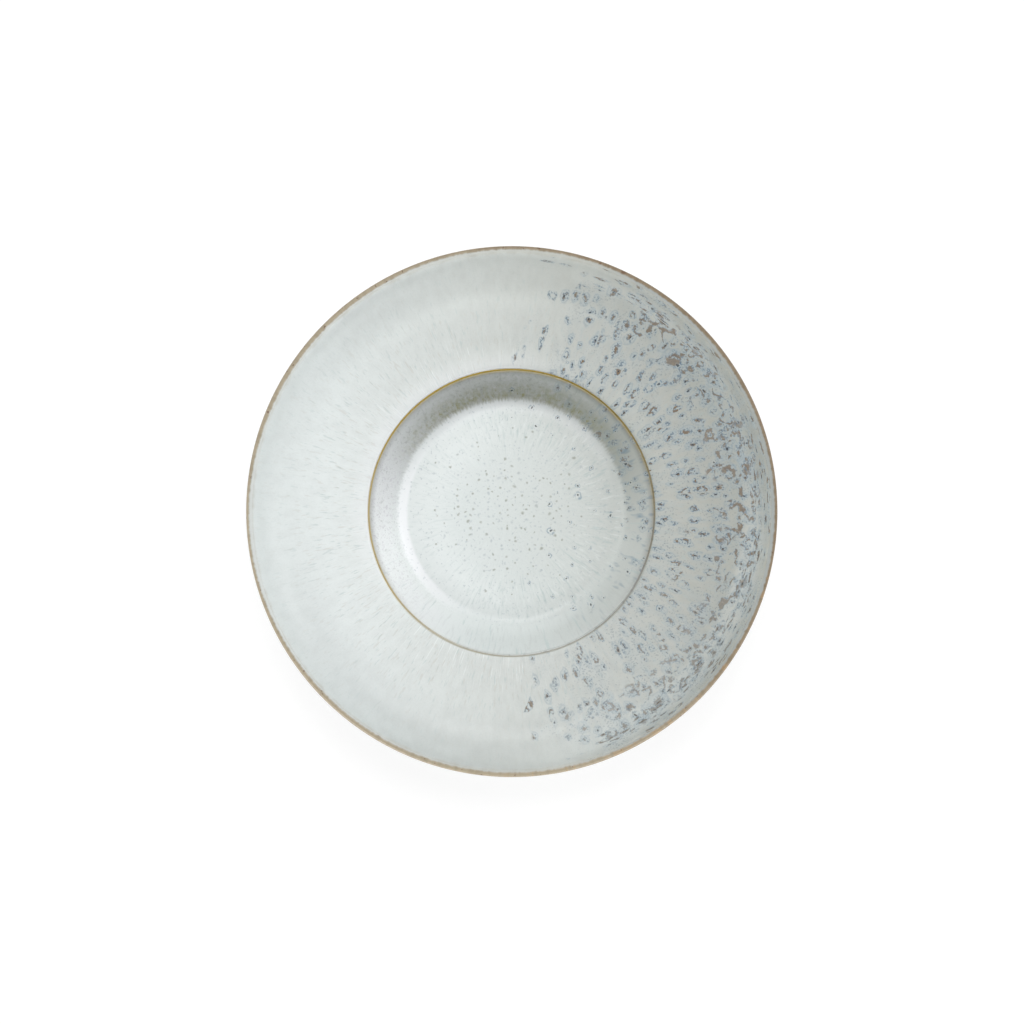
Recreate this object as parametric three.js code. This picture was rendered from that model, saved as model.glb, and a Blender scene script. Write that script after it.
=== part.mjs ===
// An espresso saucer: a stoneware dish with a sunken well for the cup, under separate fields of glaze.
// Millimetres, +Z up. The origin is on the table, on the axis of the dish.
import * as THREE from "three";

// Plan of the finished dish
const SAUCER_DIAMETER = 120; // over the lip
const WELL_DIAMETER = 65.5; // across the sharp edge of the cup well
const SHOULDER_OUTSET = 3.8; // from the well's edge out to the bend on the underside
const FOOT_OUTSET = 2.4; // from the foot of the well's wall out to the foot ring's outer face
const FOOT_WIDTH = 3.6; // across the foot ring, at the table

// Heights of the finished dish, stacked from the table up
const FOOT_HEIGHT = 2; // table to the ceiling of the hollow inside the foot ring
const BASE_THICKNESS = 4; // that ceiling to the seat where the cup stands
const WELL_DEPTH = 6.6; // seat to the well's edge
const LIP_RISE = 10; // well's edge to the crest of the lip
const HEEL_HEIGHT = 2.8; // outer face of the foot ring

// Slopes of the section, in degrees above the horizontal
const WALL_SLOPE = 42; // the well's wall
const RIM_SLOPE = 5; // the broad, nearly flat rim
const LIP_SLOPE = 68; // the rim's upturned edge, inside
const LIP_TAPER = 12; // how much less steep that edge is outside

// Clay
const RIM_THICKNESS = 3.8;
const LIP_RADIUS = 0.6; // rounding of the lip
const UPTURN_RADIUS = 11.5; // bend from the rim up to the lip, inside
const UNDER_UPTURN_RADIUS = 10; // the same bend, on the underside
const WELL_EDGE_RADIUS = 0.55; // rounding of the well's edge
const WELL_FOOT_RADIUS = 3.8; // bend from the well's wall to the seat
const SHOULDER_RADIUS = 8; // bend on the underside, below the well's edge
const HEEL_RADIUS = 1.4; // bend from the foot ring to the underside
const RECESS_RADIUS = 1.2; // bend from the foot ring to the ceiling of its hollow
const FOOT_ROUND = 0.7; // rounding of the foot ring's two bare corners

// Glaze
const COAT_THICKNESS = 0.4; // over the broad fields
const FILM_THICKNESS = 0.12; // where it has run thin over an edge
const DRAWBACK = 1.5; // length over which a coat rounds off towards an edge

// Facets
const TURN_SEGMENTS = 48;
const LIP_STEPS = 2; // for each of the lip's three stretches
const UPTURN_STEPS = 8;
const BEND_STEPS = 5;
const CORNER_STEPS = 3;
const DRAWBACK_STEPS = 2;

const { degToRad, radToDeg, euclideanModulo } = THREE.MathUtils;

// A point of the half-section: r out from the axis, z up from the table.
const at = (r, z) => new THREE.Vector2(r, z);
const gradient = (degrees) => Math.tan(degToRad(degrees));

// Where a line through a, at one slope, meets a line through b at another.
function crossing(a, slopeA, b, slopeB) {
  const rise = b.y - a.y + a.x * gradient(slopeA) - b.x * gradient(slopeB);
  const r = rise / (gradient(slopeA) - gradient(slopeB));
  return at(r, a.y + (r - a.x) * gradient(slopeA));
}

// Points round a circle from one angle to another, in degrees from the direction away from the axis.
function arc(centre, radius, from, to, steps) {
  return Array.from({ length: steps + 1 }, (_, i) => {
    const angle = degToRad(from + ((to - from) * i) / steps);
    return at(centre.x + radius * Math.cos(angle), centre.y + radius * Math.sin(angle));
  });
}

// The rounding of a corner between two straight runs, limited by the shares of those runs that it may use.
function bend(before, corner, after, radius, steps, shareBefore = 0.48, shareAfter = 0.48) {
  const back = before.clone().sub(corner);
  const ahead = after.clone().sub(corner);
  const halfAngle = Math.acos(back.dot(ahead) / (back.length() * ahead.length())) / 2;
  const room = Math.min(shareBefore * back.length(), shareAfter * ahead.length());
  const reach = Math.min(radius / Math.tan(halfAngle), room);
  const start = corner.clone().add(back.setLength(reach));
  const end = corner.clone().add(ahead.setLength(reach));
  const inward = back.add(ahead).setLength(reach / Math.cos(halfAngle));
  const centre = corner.clone().add(inward);
  const fromAngle = radToDeg(start.clone().sub(centre).angle());
  const toAngle = radToDeg(end.clone().sub(centre).angle());
  const swing = euclideanModulo(toAngle - fromAngle + 180, 360) - 180;
  return arc(centre, start.distanceTo(centre), fromAngle, fromAngle + swing, steps);
}

// Heights and radii that follow from the driving dimensions
const seatHeight = FOOT_HEIGHT + BASE_THICKNESS;
const wellEdgeHeight = seatHeight + WELL_DEPTH;
const saucerHeight = wellEdgeHeight + LIP_RISE;
const wellRadius = WELL_DIAMETER / 2;
const seatRadius = wellRadius - WELL_DEPTH / gradient(WALL_SLOPE);
const footRadius = seatRadius + FOOT_OUTSET;
const footInnerRadius = footRadius - FOOT_WIDTH;

// The lip, as three stretches of one circle: outside below its widest point, over to its crest, and inside
const lipInset = FILM_THICKNESS + LIP_RADIUS;
const lipCentre = at(SAUCER_DIAMETER / 2 - lipInset, saucerHeight - lipInset);
const lipUnder = arc(lipCentre, LIP_RADIUS, LIP_SLOPE - LIP_TAPER - 90, 0, LIP_STEPS);
const lipOver = arc(lipCentre, LIP_RADIUS, 0, 90, LIP_STEPS);
const lipIn = arc(lipCentre, LIP_RADIUS, 90, 90 + LIP_SLOPE, LIP_STEPS);
const lip = [...lipUnder, ...lipOver.slice(1), ...lipIn.slice(1)];
const lipOutside = lip[0];
const lipInside = lip.at(-1);

// The other corners of the clay's section, from the middle of the underside out and back over the top
const recessCentre = at(0, FOOT_HEIGHT + COAT_THICKNESS);
const recessCorner = at(footInnerRadius, recessCentre.y);
const footInner = at(footInnerRadius, 0);
const footOuter = at(footRadius, 0);
const heel = at(footRadius, HEEL_HEIGHT);
const wellEdge = at(wellRadius, wellEdgeHeight - FILM_THICKNESS);
const underEdge = at(wellRadius, wellEdge.y - RIM_THICKNESS / Math.cos(degToRad(RIM_SLOPE)));
const shoulder = at(wellRadius + SHOULDER_OUTSET, underEdge.y + SHOULDER_OUTSET * gradient(RIM_SLOPE));
const underKnee = crossing(underEdge, RIM_SLOPE, lipOutside, LIP_SLOPE - LIP_TAPER);
const knee = crossing(wellEdge, RIM_SLOPE, lipInside, LIP_SLOPE);
const wellFoot = at(seatRadius, seatHeight - COAT_THICKNESS);
const seatCentre = at(0, wellFoot.y);

// The same corners, rounded
const recessBend = bend(recessCentre, recessCorner, footInner, RECESS_RADIUS, CORNER_STEPS);
const footInnerBend = bend(recessCorner, footInner, footOuter, FOOT_ROUND, CORNER_STEPS);
const footOuterBend = bend(footInner, footOuter, heel, FOOT_ROUND, CORNER_STEPS);
const heelBend = bend(footOuter, heel, shoulder, HEEL_RADIUS, CORNER_STEPS);
const shoulderBend = bend(heel, shoulder, underKnee, SHOULDER_RADIUS, BEND_STEPS);
const underKneeBend = bend(shoulder, underKnee, lipOutside, UNDER_UPTURN_RADIUS, BEND_STEPS, 0.48, 0.8);
const kneeBend = bend(lipInside, knee, wellEdge, UPTURN_RADIUS, UPTURN_STEPS, 0.92, 0.48);
const wellEdgeBend = bend(knee, wellEdge, wellFoot, WELL_EDGE_RADIUS, CORNER_STEPS);
const wellFootBend = bend(wellEdge, wellFoot, seatCentre, WELL_FOOT_RADIUS, BEND_STEPS);

// Distance along a run of points to each of them.
function distancesAlong(run) {
  let total = 0;
  return run.map((p, i) => (total += i ? p.distanceTo(run[i - 1]) : 0));
}

// A run with a further point on it, at a given distance along it.
function withPointAt(run, distance) {
  const along = distancesAlong(run);
  const next = along.findIndex((d) => d >= distance);
  const share = (distance - along[next - 1]) / (along[next] - along[next - 1]);
  const extra = run[next - 1].clone().lerp(run[next], share);
  return [...run.slice(0, next), extra, ...run.slice(next)];
}

// A run with the points that its coat needs to round off at each end that is not on the axis.
function readyForCoat(run) {
  const length = distancesAlong(run).at(-1);
  let ready = run;
  for (let i = 1; i <= DRAWBACK_STEPS; i++) {
    const distance = (DRAWBACK * i) / DRAWBACK_STEPS;
    if (run[0].x > 0) ready = withPointAt(ready, distance);
    if (run.at(-1).x > 0) ready = withPointAt(ready, length - distance);
  }
  return ready;
}

// The section as runs that follow one another, each ending on the point where the next begins
const runs = {
  recess: readyForCoat([recessCentre, ...recessBend, footInnerBend[0]]),
  foot: [...footInnerBend, ...footOuterBend],
  underside: readyForCoat([footOuterBend.at(-1), ...heelBend, ...shoulderBend, ...underKneeBend, lipOutside]),
  lip,
  rim: readyForCoat([lipInside, ...kneeBend, wellEdgeBend[0]]),
  wellEdge: wellEdgeBend,
  well: readyForCoat([wellEdgeBend.at(-1), ...wellFootBend, seatCentre]),
};
const section = [recessCentre, ...Object.values(runs).flatMap((run) => run.slice(1))];

// The way out of the clay at each point of the section, as long as keeps a layer even round a corner.
const outward = new Map(
  section.map((p, i) => {
    if (p.x === 0) return [p, at(0, i ? 1 : -1)];
    const back = p.clone().sub(section[i - 1]).normalize();
    const mean = section[i + 1].clone().sub(p).normalize().add(back).normalize();
    return [p, at(mean.y, -mean.x).divideScalar(mean.dot(back))];
  }),
);

// How thick a full coat is at a distance from the nearest edge that it thins towards.
function coatThickness(distance) {
  const fullness = Math.sin((Math.PI / 2) * Math.min(1, distance / DRAWBACK));
  return FILM_THICKNESS + (COAT_THICKNESS - FILM_THICKNESS) * fullness;
}

// The outer surface of a full coat over a run of clay.
function coatOver(run) {
  const along = distancesAlong(run);
  return run.map((p, i) => {
    const fromStart = run[0].x > 0 ? along[i] : Infinity;
    const fromEnd = run.at(-1).x > 0 ? along.at(-1) - along[i] : Infinity;
    return p.clone().addScaledVector(outward.get(p), coatThickness(Math.min(fromStart, fromEnd)));
  });
}

// The outer surface of an even film over a run of clay.
function filmOver(run) {
  return run.map((p) => p.clone().addScaledVector(outward.get(p), FILM_THICKNESS));
}

// A solid turned about Z from an outline drawn anticlockwise, open on the axis or closed on itself.
function turned(outline) {
  return new THREE.LatheGeometry(outline, TURN_SEGMENTS).rotateX(Math.PI / 2);
}

// The layer between a run of clay and the glaze surface over it.
function layer(run, surface) {
  const back = [...run].reverse();
  if (run.at(-1).x === 0) return turned([...back, ...surface]);
  if (run[0].x === 0) return turned([...surface, ...back]);
  return turned([...surface, ...back, surface[0]]);
}

const saucer = new THREE.Group();

function add(name, geometry, color, roughness) {
  const material = new THREE.MeshStandardMaterial({ color, roughness, metalness: 0 });
  const mesh = new THREE.Mesh(geometry, material);
  mesh.name = name;
  saucer.add(mesh);
}

add("stoneware_body", turned(section), "#b79b78", 0.9);
add("rim_glaze", layer(runs.rim, coatOver(runs.rim)), "#d3d9d7", 0.35);
add("well_glaze", layer(runs.well, coatOver(runs.well)), "#dbe0de", 0.35);
add("underside_glaze", layer(runs.underside, coatOver(runs.underside)), "#d6dbd8", 0.35);
add("foot_recess_glaze", layer(runs.recess, coatOver(runs.recess)), "#d2d6d2", 0.4);
add("lip_glaze_film", layer(runs.lip, filmOver(runs.lip)), "#a98f6b", 0.5);
add("well_edge_glaze_film", layer(runs.wellEdge, filmOver(runs.wellEdge)), "#b0913f", 0.5);

export default saucer;
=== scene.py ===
# %% [markdown]
# An espresso saucer in stoneware. One fired clay body carries several fields of glaze: a thick pale coat
# on the rim, one in the cup well, one on the underside and one inside the foot ring, with thin coloured
# films where the glaze ran off an edge. The solids come from the CAD frame. Here each of them is turned
# again, finer and rounder, and gets the finish that the kiln gave it.

# %% Load the frame
import math

import bpy
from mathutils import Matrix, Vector


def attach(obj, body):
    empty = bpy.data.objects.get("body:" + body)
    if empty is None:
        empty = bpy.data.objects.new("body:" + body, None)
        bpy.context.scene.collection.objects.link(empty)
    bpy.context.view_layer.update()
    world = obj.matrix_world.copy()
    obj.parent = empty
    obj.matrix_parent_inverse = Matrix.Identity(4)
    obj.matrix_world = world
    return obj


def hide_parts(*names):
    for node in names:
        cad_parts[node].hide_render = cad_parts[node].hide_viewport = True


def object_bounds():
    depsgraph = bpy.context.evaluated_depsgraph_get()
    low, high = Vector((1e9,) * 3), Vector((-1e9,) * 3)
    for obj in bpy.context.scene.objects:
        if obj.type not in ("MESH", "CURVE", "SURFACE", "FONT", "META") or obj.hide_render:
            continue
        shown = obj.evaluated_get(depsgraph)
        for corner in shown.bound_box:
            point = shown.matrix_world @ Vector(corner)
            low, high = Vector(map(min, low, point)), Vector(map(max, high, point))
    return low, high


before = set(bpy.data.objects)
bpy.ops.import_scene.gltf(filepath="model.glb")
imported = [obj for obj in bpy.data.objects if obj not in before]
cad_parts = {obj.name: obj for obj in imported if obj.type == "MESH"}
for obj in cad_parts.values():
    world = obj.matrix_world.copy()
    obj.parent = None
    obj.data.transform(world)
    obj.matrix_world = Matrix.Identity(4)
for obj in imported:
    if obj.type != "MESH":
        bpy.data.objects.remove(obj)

MM_PER_M = 1000

cad_box = [list(corner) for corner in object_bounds()]
print("CAD box in mm:", [[round(v * MM_PER_M, 2) for v in corner] for corner in cad_box])

# %% [markdown]
# A saucer is thrown or jiggered on a wheel, so every horizontal slice of it is a circle and one
# half-section says everything about its shape. To turn a solid again more finely, copy its mesh, throw
# away all but the points that lie in one half-plane, and spin that outline round the axis. A Subdivision
# Surface then rounds the outline's bends, while the corners where a coat of glaze ends are creased so
# that neighbouring coats still meet.

# %% Turn a solid again from its own section
TURNS = 128
CORNER = math.radians(50)
SAME_PLACE = 1e-6


def only(obj):
    """Make obj the one selected and active object."""
    bpy.ops.object.select_all(action="DESELECT")
    obj.select_set(True)
    bpy.context.view_layer.objects.active = obj


def turn_again(node, name):
    """A finely turned copy of a CAD node, as a new object."""
    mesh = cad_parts[node].data.copy()
    mesh.name = name
    mesh.materials.clear()
    piece = bpy.data.objects.new(name, mesh)
    bpy.context.scene.collection.objects.link(piece)
    only(piece)
    bpy.ops.object.mode_set(mode="EDIT")
    bpy.ops.mesh.select_mode(type="VERT")
    bpy.ops.mesh.select_all(action="SELECT")
    bpy.ops.mesh.remove_doubles(threshold=SAME_PLACE)
    bpy.ops.mesh.select_all(action="DESELECT")
    bpy.ops.object.mode_set(mode="OBJECT")
    for point in mesh.vertices:
        point.select = abs(point.co.y) > SAME_PLACE or point.co.x < -SAME_PLACE
    bpy.ops.object.mode_set(mode="EDIT")
    bpy.ops.mesh.delete(type="VERT")
    bpy.ops.mesh.select_all(action="SELECT")
    bpy.ops.mesh.spin(steps=TURNS, angle=2 * math.pi, center=(0, 0, 0), axis=(0, 0, 1))
    bpy.ops.mesh.select_all(action="SELECT")
    bpy.ops.mesh.remove_doubles(threshold=SAME_PLACE)
    bpy.ops.mesh.normals_make_consistent(inside=False)
    bpy.ops.mesh.select_all(action="DESELECT")
    bpy.ops.mesh.select_mode(type="EDGE")
    bpy.ops.mesh.edges_select_sharp(sharpness=CORNER)
    bpy.ops.transform.edge_crease(value=1)
    bpy.ops.object.mode_set(mode="OBJECT")
    rounding = piece.modifiers.new("rounding", "SUBSURF")
    rounding.levels = rounding.render_levels = 1
    bpy.ops.object.modifier_apply(modifier=rounding.name)
    bpy.ops.object.shade_smooth_by_angle(angle=CORNER)
    return piece


NODES = {
    "clay_body": "stoneware_body",
    "rim_coat": "rim_glaze",
    "well_coat": "well_glaze",
    "underside_coat": "underside_glaze",
    "recess_coat": "foot_recess_glaze",
    "lip_film": "lip_glaze_film",
    "well_edge_film": "well_edge_glaze_film",
}
pieces = {name: turn_again(node, name) for name, node in NODES.items()}
for name, piece in pieces.items():
    size = [round(v * MM_PER_M, 2) for v in piece.dimensions]
    print(name, len(piece.data.polygons), "faces, size in mm:", size)

# %% [markdown]
# A material is a graph of nodes, and long graphs are easier to read when the small steps have names.
# These helpers add a node or two each. The first ones do arithmetic, on numbers and on vectors, and one
# of them makes the smooth step from 0 to 1 that nearly every mask below is built from.

# %% Short ways to add nodes: arithmetic
def fill(tree, made, sockets):
    """Fill a node's inputs with values or with other nodes' outputs."""
    for key, value in sockets.items():
        if isinstance(value, bpy.types.NodeSocket):
            tree.links.new(value, made.inputs[key])
        else:
            made.inputs[key].default_value = value
    return made


def node(tree, kind, sockets=None, **settings):
    """Add a node, set its options and fill its inputs."""
    made = tree.nodes.new(kind)
    for name, value in settings.items():
        setattr(made, name, value)
    return fill(tree, made, sockets or {})


def calc(tree, operation, *values, clamp=False):
    """One step of arithmetic."""
    made = node(tree, "ShaderNodeMath", dict(enumerate(values)), operation=operation, use_clamp=clamp)
    return made.outputs[0]


def times(tree, first, *others):
    """The product of two or more values."""
    for other in others:
        first = calc(tree, "MULTIPLY", first, other)
    return first


def rise(tree, value, start, end, low=0.0, high=1.0):
    """From low at start to high at end, smoothly, and level beyond them."""
    sockets = {0: value, 1: start, 2: end, 3: low, 4: high}
    return node(tree, "ShaderNodeMapRange", sockets, interpolation_type="SMOOTHSTEP").outputs[0]


def hump(tree, value, start, full, ebb, end):
    """0 up to start, 1 from full to ebb, and 0 again from end on."""
    return times(tree, rise(tree, value, start, full), rise(tree, value, end, ebb))


def vector(tree, operation, *values):
    """One step of arithmetic on vectors."""
    return node(tree, "ShaderNodeVectorMath", dict(enumerate(values)), operation=operation).outputs


def stretch(tree, place, factors, offset=(0, 0, 0)):
    """Scale a vector by its three factors and move it."""
    return vector(tree, "MULTIPLY_ADD", place, factors, offset)["Vector"]


def split(tree, whole):
    """The three numbers of a vector or of a colour."""
    return node(tree, "ShaderNodeSeparateXYZ", {0: whole}).outputs


def join(tree, x=0.0, y=0.0, z=0.0):
    """A vector from three numbers."""
    return node(tree, "ShaderNodeCombineXYZ", {0: x, 1: y, 2: z}).outputs[0]


print("arithmetic ready")

# %% [markdown]
# The second set makes what the eye sees: noises, scattered cells, and mixes of two colours. Colours are
# written as they look on a screen and turned into the linear values that the nodes work with. What
# several materials share goes into a node group, so two more helpers make a group and place it.

# %% Short ways to add nodes: noise, cells, colours and groups
def noise(tree, place, scale=1.0, detail=2.0, roughness=0.5):
    """Cloudy noise about 0.5."""
    sockets = {"Vector": place, "Scale": scale, "Detail": detail, "Roughness": roughness}
    return node(tree, "ShaderNodeTexNoise", sockets).outputs[0]


def sway(tree, value, reach, centre=0.0):
    """Turn a noise about 0.5 into one about centre that reaches so far up and down."""
    return calc(tree, "MULTIPLY_ADD", calc(tree, "SUBTRACT", value, 0.5), reach * 2, centre)


def wander(tree, place, scale, reach):
    """Push a vector about by soft noise, so that what is drawn on it loses its straight lines."""
    sockets = {"Vector": place, "Scale": scale, "Detail": 2.0}
    push = node(tree, "ShaderNodeTexNoise", sockets).outputs["Color"]
    push = stretch(tree, push, (2 * reach,) * 3, (-reach,) * 3)
    return vector(tree, "ADD", place, push)["Vector"]


def voronoi(tree, place, scale=1.0, dimensions="2D", feature="F1"):
    """Cells strewn over the plane or through space."""
    sockets = {"Vector": place, "Scale": scale}
    made = node(tree, "ShaderNodeTexVoronoi", sockets, voronoi_dimensions=dimensions, feature=feature)
    return made.outputs


def scatter(tree, place, scale=1.0, dimensions="2D"):
    """The distance to the middle of the own cell, and three dice that are thrown once for each cell."""
    cells = voronoi(tree, place, scale, dimensions)
    return cells["Distance"], split(tree, cells["Color"])


def blend(tree, share, first, second):
    """A mix of two colours: all first at share 0, all second at share 1."""
    return node(tree, "ShaderNodeMix", {0: share, 6: first, 7: second}, data_type="RGBA").outputs[2]


def colour(code):
    """A screen colour such as #d0d4d2, as the linear values that nodes use."""
    parts = [int(code[i:i + 2], 16) / 255 for i in (1, 3, 5)]
    return [*(p / 12.92 if p <= 0.04045 else ((p + 0.055) / 1.055) ** 2.4 for p in parts), 1]


def new_group(name, inputs, outputs):
    """An empty node group with the given sockets, and its two ends."""
    tree = bpy.data.node_groups.new(name, "ShaderNodeTree")
    for label, kind in inputs.items():
        tree.interface.new_socket(label, in_out="INPUT", socket_type="NodeSocket" + kind)
    for label, kind in outputs.items():
        tree.interface.new_socket(label, in_out="OUTPUT", socket_type="NodeSocket" + kind)
    return tree, tree.nodes.new("NodeGroupInput").outputs, tree.nodes.new("NodeGroupOutput")


def use_group(tree, group, sockets):
    """A node that runs a group inside another tree."""
    made = tree.nodes.new("ShaderNodeGroup")
    made.node_tree = group
    return fill(tree, made, sockets).outputs


print("noise, cells, colours and groups ready")

# %% [markdown]
# Molten glaze creeps downhill, so its streaks on a saucer run along the section: in towards the middle on
# top, and down over the outside. This group gives every point a place in that flow: the direction from
# the axis, and the run along the section, which is the radius plus half the height so that it keeps pace
# on steep walls. Noise read in the flow can be drawn out along it and closes on itself with no seam. The
# same place unrolled flat, in millimetres round the rim and along the run, serves for spots, whose seam
# falls on the side that has none.

# %% Group: where a point lies in the flow
REACTIVE_SIDE = 6  # azimuth in degrees of the side with the drops
MID_RIM = 47.0  # radius in mm at which the unrolled place has its true width
RUN_PER_HEIGHT = 0.5


def towards(azimuth):
    """The level direction at an azimuth in degrees."""
    return math.cos(math.radians(azimuth)), math.sin(math.radians(azimuth)), 0


flow_group, begin, end = new_group(
    "Place in the flow",
    {"Place": "Vector"},
    {"Millimetres": "Vector", "Flow": "Vector", "Unrolled": "Vector",
     "Radius": "Float", "Run": "Float", "Side": "Float"},
)
tree = flow_group
millimetres = vector(tree, "MULTIPLY", begin["Place"], (MM_PER_M,) * 3)["Vector"]
x, y, z = split(tree, millimetres)
plan = join(tree, x, y)
radius = vector(tree, "LENGTH", plan)["Value"]
run = calc(tree, "MULTIPLY_ADD", z, RUN_PER_HEIGHT, radius)
direction = vector(tree, "NORMALIZE", plan)["Vector"]
turn = times(tree, calc(tree, "ARCTAN2", y, x), MID_RIM)
fill(tree, end, {
    "Millimetres": millimetres,
    "Flow": vector(tree, "ADD", direction, join(tree, z=run))["Vector"],
    "Unrolled": join(tree, turn, run),
    "Radius": radius,
    "Run": run,
    "Side": vector(tree, "DOT_PRODUCT", plan, towards(REACTIVE_SIDE))["Value"],
})
print("flow group:", len(tree.nodes), "nodes")

# %% [markdown]
# No fired surface is even. Under a lens a glaze shows a fine grain of crystals, soft clouds that follow
# the flow, and a faint orange peel that breaks up its reflections. All the coats share these three, so
# they are one group.

# %% Group: what the kiln leaves in every glaze
kiln_group, begin, end = new_group(
    "Kiln marks",
    {"Millimetres": "Vector", "Flow": "Vector"},
    {"Grain": "Float", "Clouds": "Float", "Peel": "Float"},
)
tree = kiln_group
fill(tree, end, {
    "Grain": noise(tree, begin["Millimetres"], 2.3, 1.0, 0.6),
    "Clouds": noise(tree, stretch(tree, begin["Flow"], (24, 24, 0.25)), 1.0, 3.0),
    "Peel": noise(tree, begin["Millimetres"], 0.6, 2.0),
})
print("kiln group:", len(tree.nodes), "nodes")

# %% [markdown]
# In a reactive glaze, drops of an iron-bearing glaze sink into the pale one and boil through it. A small
# drop leaves an eye: a thin blue-grey oval, a soft wash inside it, a stipple of dark grains, often a
# brown core and sometimes a dark pin. So the flat place is cut into cells with a Voronoi texture. The
# cell's own dice say whether it holds an eye, how large it is and whether it is hollow. Ragged noise
# frays the marks, and each of them fades before its cell ends. A mark's level is the one number that its
# wash, its grains and its core are read from.

# %% Group: reactive eyes
def wash_of(tree, grain, level):
    """The soft tint round a mark, frayed by the grain."""
    return rise(tree, sway(tree, grain, 0.9, level), -1.5, 0.1)


def stipple_of(tree, grain, level, core):
    """The dark grains of a mark, fewer of them over its core."""
    peppered = calc(tree, "MULTIPLY_ADD", calc(tree, "MINIMUM", level, 0.1), 0.22, grain)
    grains = times(tree, rise(tree, peppered, 0.44, 0.6), rise(tree, level, -1.1, -0.2))
    return times(tree, grains, rise(tree, core, 0, 1, 1, 0.35))


eye_group, begin, end = new_group(
    "Reactive eyes",
    {"Cells": "Vector", "Grain": "Float", "Density": "Float", "Heat": "Float"},
    {"Wash": "Float", "Outline": "Float", "Stipple": "Float", "Core": "Float", "Pin": "Float"},
)
tree = eye_group
grain = begin["Grain"]
cells = wander(tree, begin["Cells"], 1.2, 0.3)
middle, dice = scatter(tree, cells)
border = voronoi(tree, cells, feature="DISTANCE_TO_EDGE")["Distance"]
there = rise(tree, calc(tree, "SUBTRACT", begin["Density"], dice[0]), 0.0, 0.08)
there = times(tree, there, rise(tree, border, 0.0, 0.12))

size = calc(tree, "MULTIPLY_ADD", dice[1], 0.22, 0.2)
oval = calc(tree, "DIVIDE", middle, size)
ragged = noise(tree, begin["Cells"], 2.6, 3.0, 0.6)
across = sway(tree, ragged, 1.0, oval)
solid = calc(tree, "MULTIPLY_ADD", across, -1.6, 1.0)
off_ring = calc(tree, "ABSOLUTE", calc(tree, "SUBTRACT", across, 0.7))
hollow = calc(tree, "MULTIPLY_ADD", off_ring, -2.4, 1.0)
broken = rise(tree, noise(tree, begin["Cells"], 1.9, 1.0), 0.44, 0.56, -1.0, 0.1)
hollow = calc(tree, "ADD", hollow, broken)
is_hollow = rise(tree, dice[2], 0.6, 0.7)
level = calc(tree, "MULTIPLY_ADD", is_hollow, calc(tree, "SUBTRACT", hollow, solid), solid)

hot = sway(tree, grain, 0.5, calc(tree, "ADD", level, begin["Heat"]))
hot = calc(tree, "MULTIPLY_ADD", dice[1], 0.5, hot)
core = rise(tree, hot, 0.4, 1.0)
outline = times(tree, hump(tree, oval, 0.95, 1.15, 1.2, 1.45), rise(tree, ragged, 0.36, 0.52))
pin = times(tree, rise(tree, middle, 0.085, 0.05), rise(tree, dice[2], 0.38, 0.32))
fill(tree, end, {
    "Wash": times(tree, there, wash_of(tree, grain, level)),
    "Outline": times(tree, there, outline),
    "Stipple": times(tree, there, stipple_of(tree, grain, level, core)),
    "Core": times(tree, there, core),
    "Pin": times(tree, there, pin),
})
print("eye group:", len(tree.nodes), "nodes")

# %% [markdown]
# Where the drops lay thick, near the upturned edge, they ran together and curled round the pale glaze
# between them. A band along one height of a soft noise makes such curls: it closes on itself or winds
# away, and a second noise breaks it into hooks and crescents. The middle of the band is brown, and grains
# of slate fray its borders.

# %% Group: reactive curls
CURL_BAND = 0.05  # the distance from the noise's middle height over which a curl fades

curl_group, begin, end = new_group(
    "Reactive curls",
    {"Unrolled": "Vector", "Grain": "Float", "Density": "Float"},
    {"Wash": "Float", "Stipple": "Float", "Core": "Float"},
)
tree = curl_group
grain = begin["Grain"]
height = noise(tree, wander(tree, begin["Unrolled"], 0.3, 1.2), 0.25, 1.0)
band = calc(tree, "DIVIDE", calc(tree, "ABSOLUTE", calc(tree, "SUBTRACT", height, 0.5)), -CURL_BAND)
gaps = noise(tree, stretch(tree, begin["Unrolled"], (1, 1, 1), (31, 17, 0)), 0.36, 1.0)
hooks = calc(tree, "ADD", rise(tree, gaps, 0.43, 0.57, -1.8, 0.75), begin["Density"])
level = calc(tree, "ADD", band, hooks)
level = sway(tree, noise(tree, begin["Unrolled"], 1.1, 2.0), 0.9, level)
core = rise(tree, sway(tree, grain, 0.5, level), 0.05, 0.9)
fill(tree, end, {
    "Wash": wash_of(tree, grain, level),
    "Stipple": stipple_of(tree, grain, level, core),
    "Core": core,
})
print("curl group:", len(tree.nodes), "nodes")

# %% [markdown]
# A single bubble that burst late leaves a neat mark: a dark pin of iron in the middle, a pale halo, and a
# thin broken ring of blue round it. These marks lie well apart, on the seat of the well as well as on the
# rim.

# %% Group: ringed pins
PIN_PITCH = 4.2  # mm from one cell to the next

pin_group, begin, end = new_group(
    "Ringed pins",
    {"Millimetres": "Vector", "Density": "Float"},
    {"Halo": "Float", "Ring": "Float", "Pin": "Float"},
)
tree = pin_group
cells = wander(tree, wander(tree, begin["Millimetres"], 0.8, 0.5), 2.0, 0.22)
middle, dice = scatter(tree, cells, 1 / PIN_PITCH)
there = rise(tree, calc(tree, "SUBTRACT", begin["Density"], dice[0]), 0.0, 0.05)
reach = calc(tree, "MULTIPLY_ADD", times(tree, dice[1], dice[1]), 0.09, 0.09)
across = calc(tree, "DIVIDE", middle, reach)
off_ring = calc(tree, "ABSOLUTE", calc(tree, "SUBTRACT", across, 1.0))
arcs = rise(tree, noise(tree, begin["Millimetres"], 1.4, 1.0), 0.46, 0.58)
fill(tree, end, {
    "Halo": times(tree, there, rise(tree, across, 1.1, 0.7)),
    "Ring": times(tree, there, rise(tree, off_ring, 0.34, 0.1), arcs),
    "Pin": times(tree, there, rise(tree, across, 0.45, 0.25)),
})
print("pin group:", len(tree.nodes), "nodes")

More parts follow.
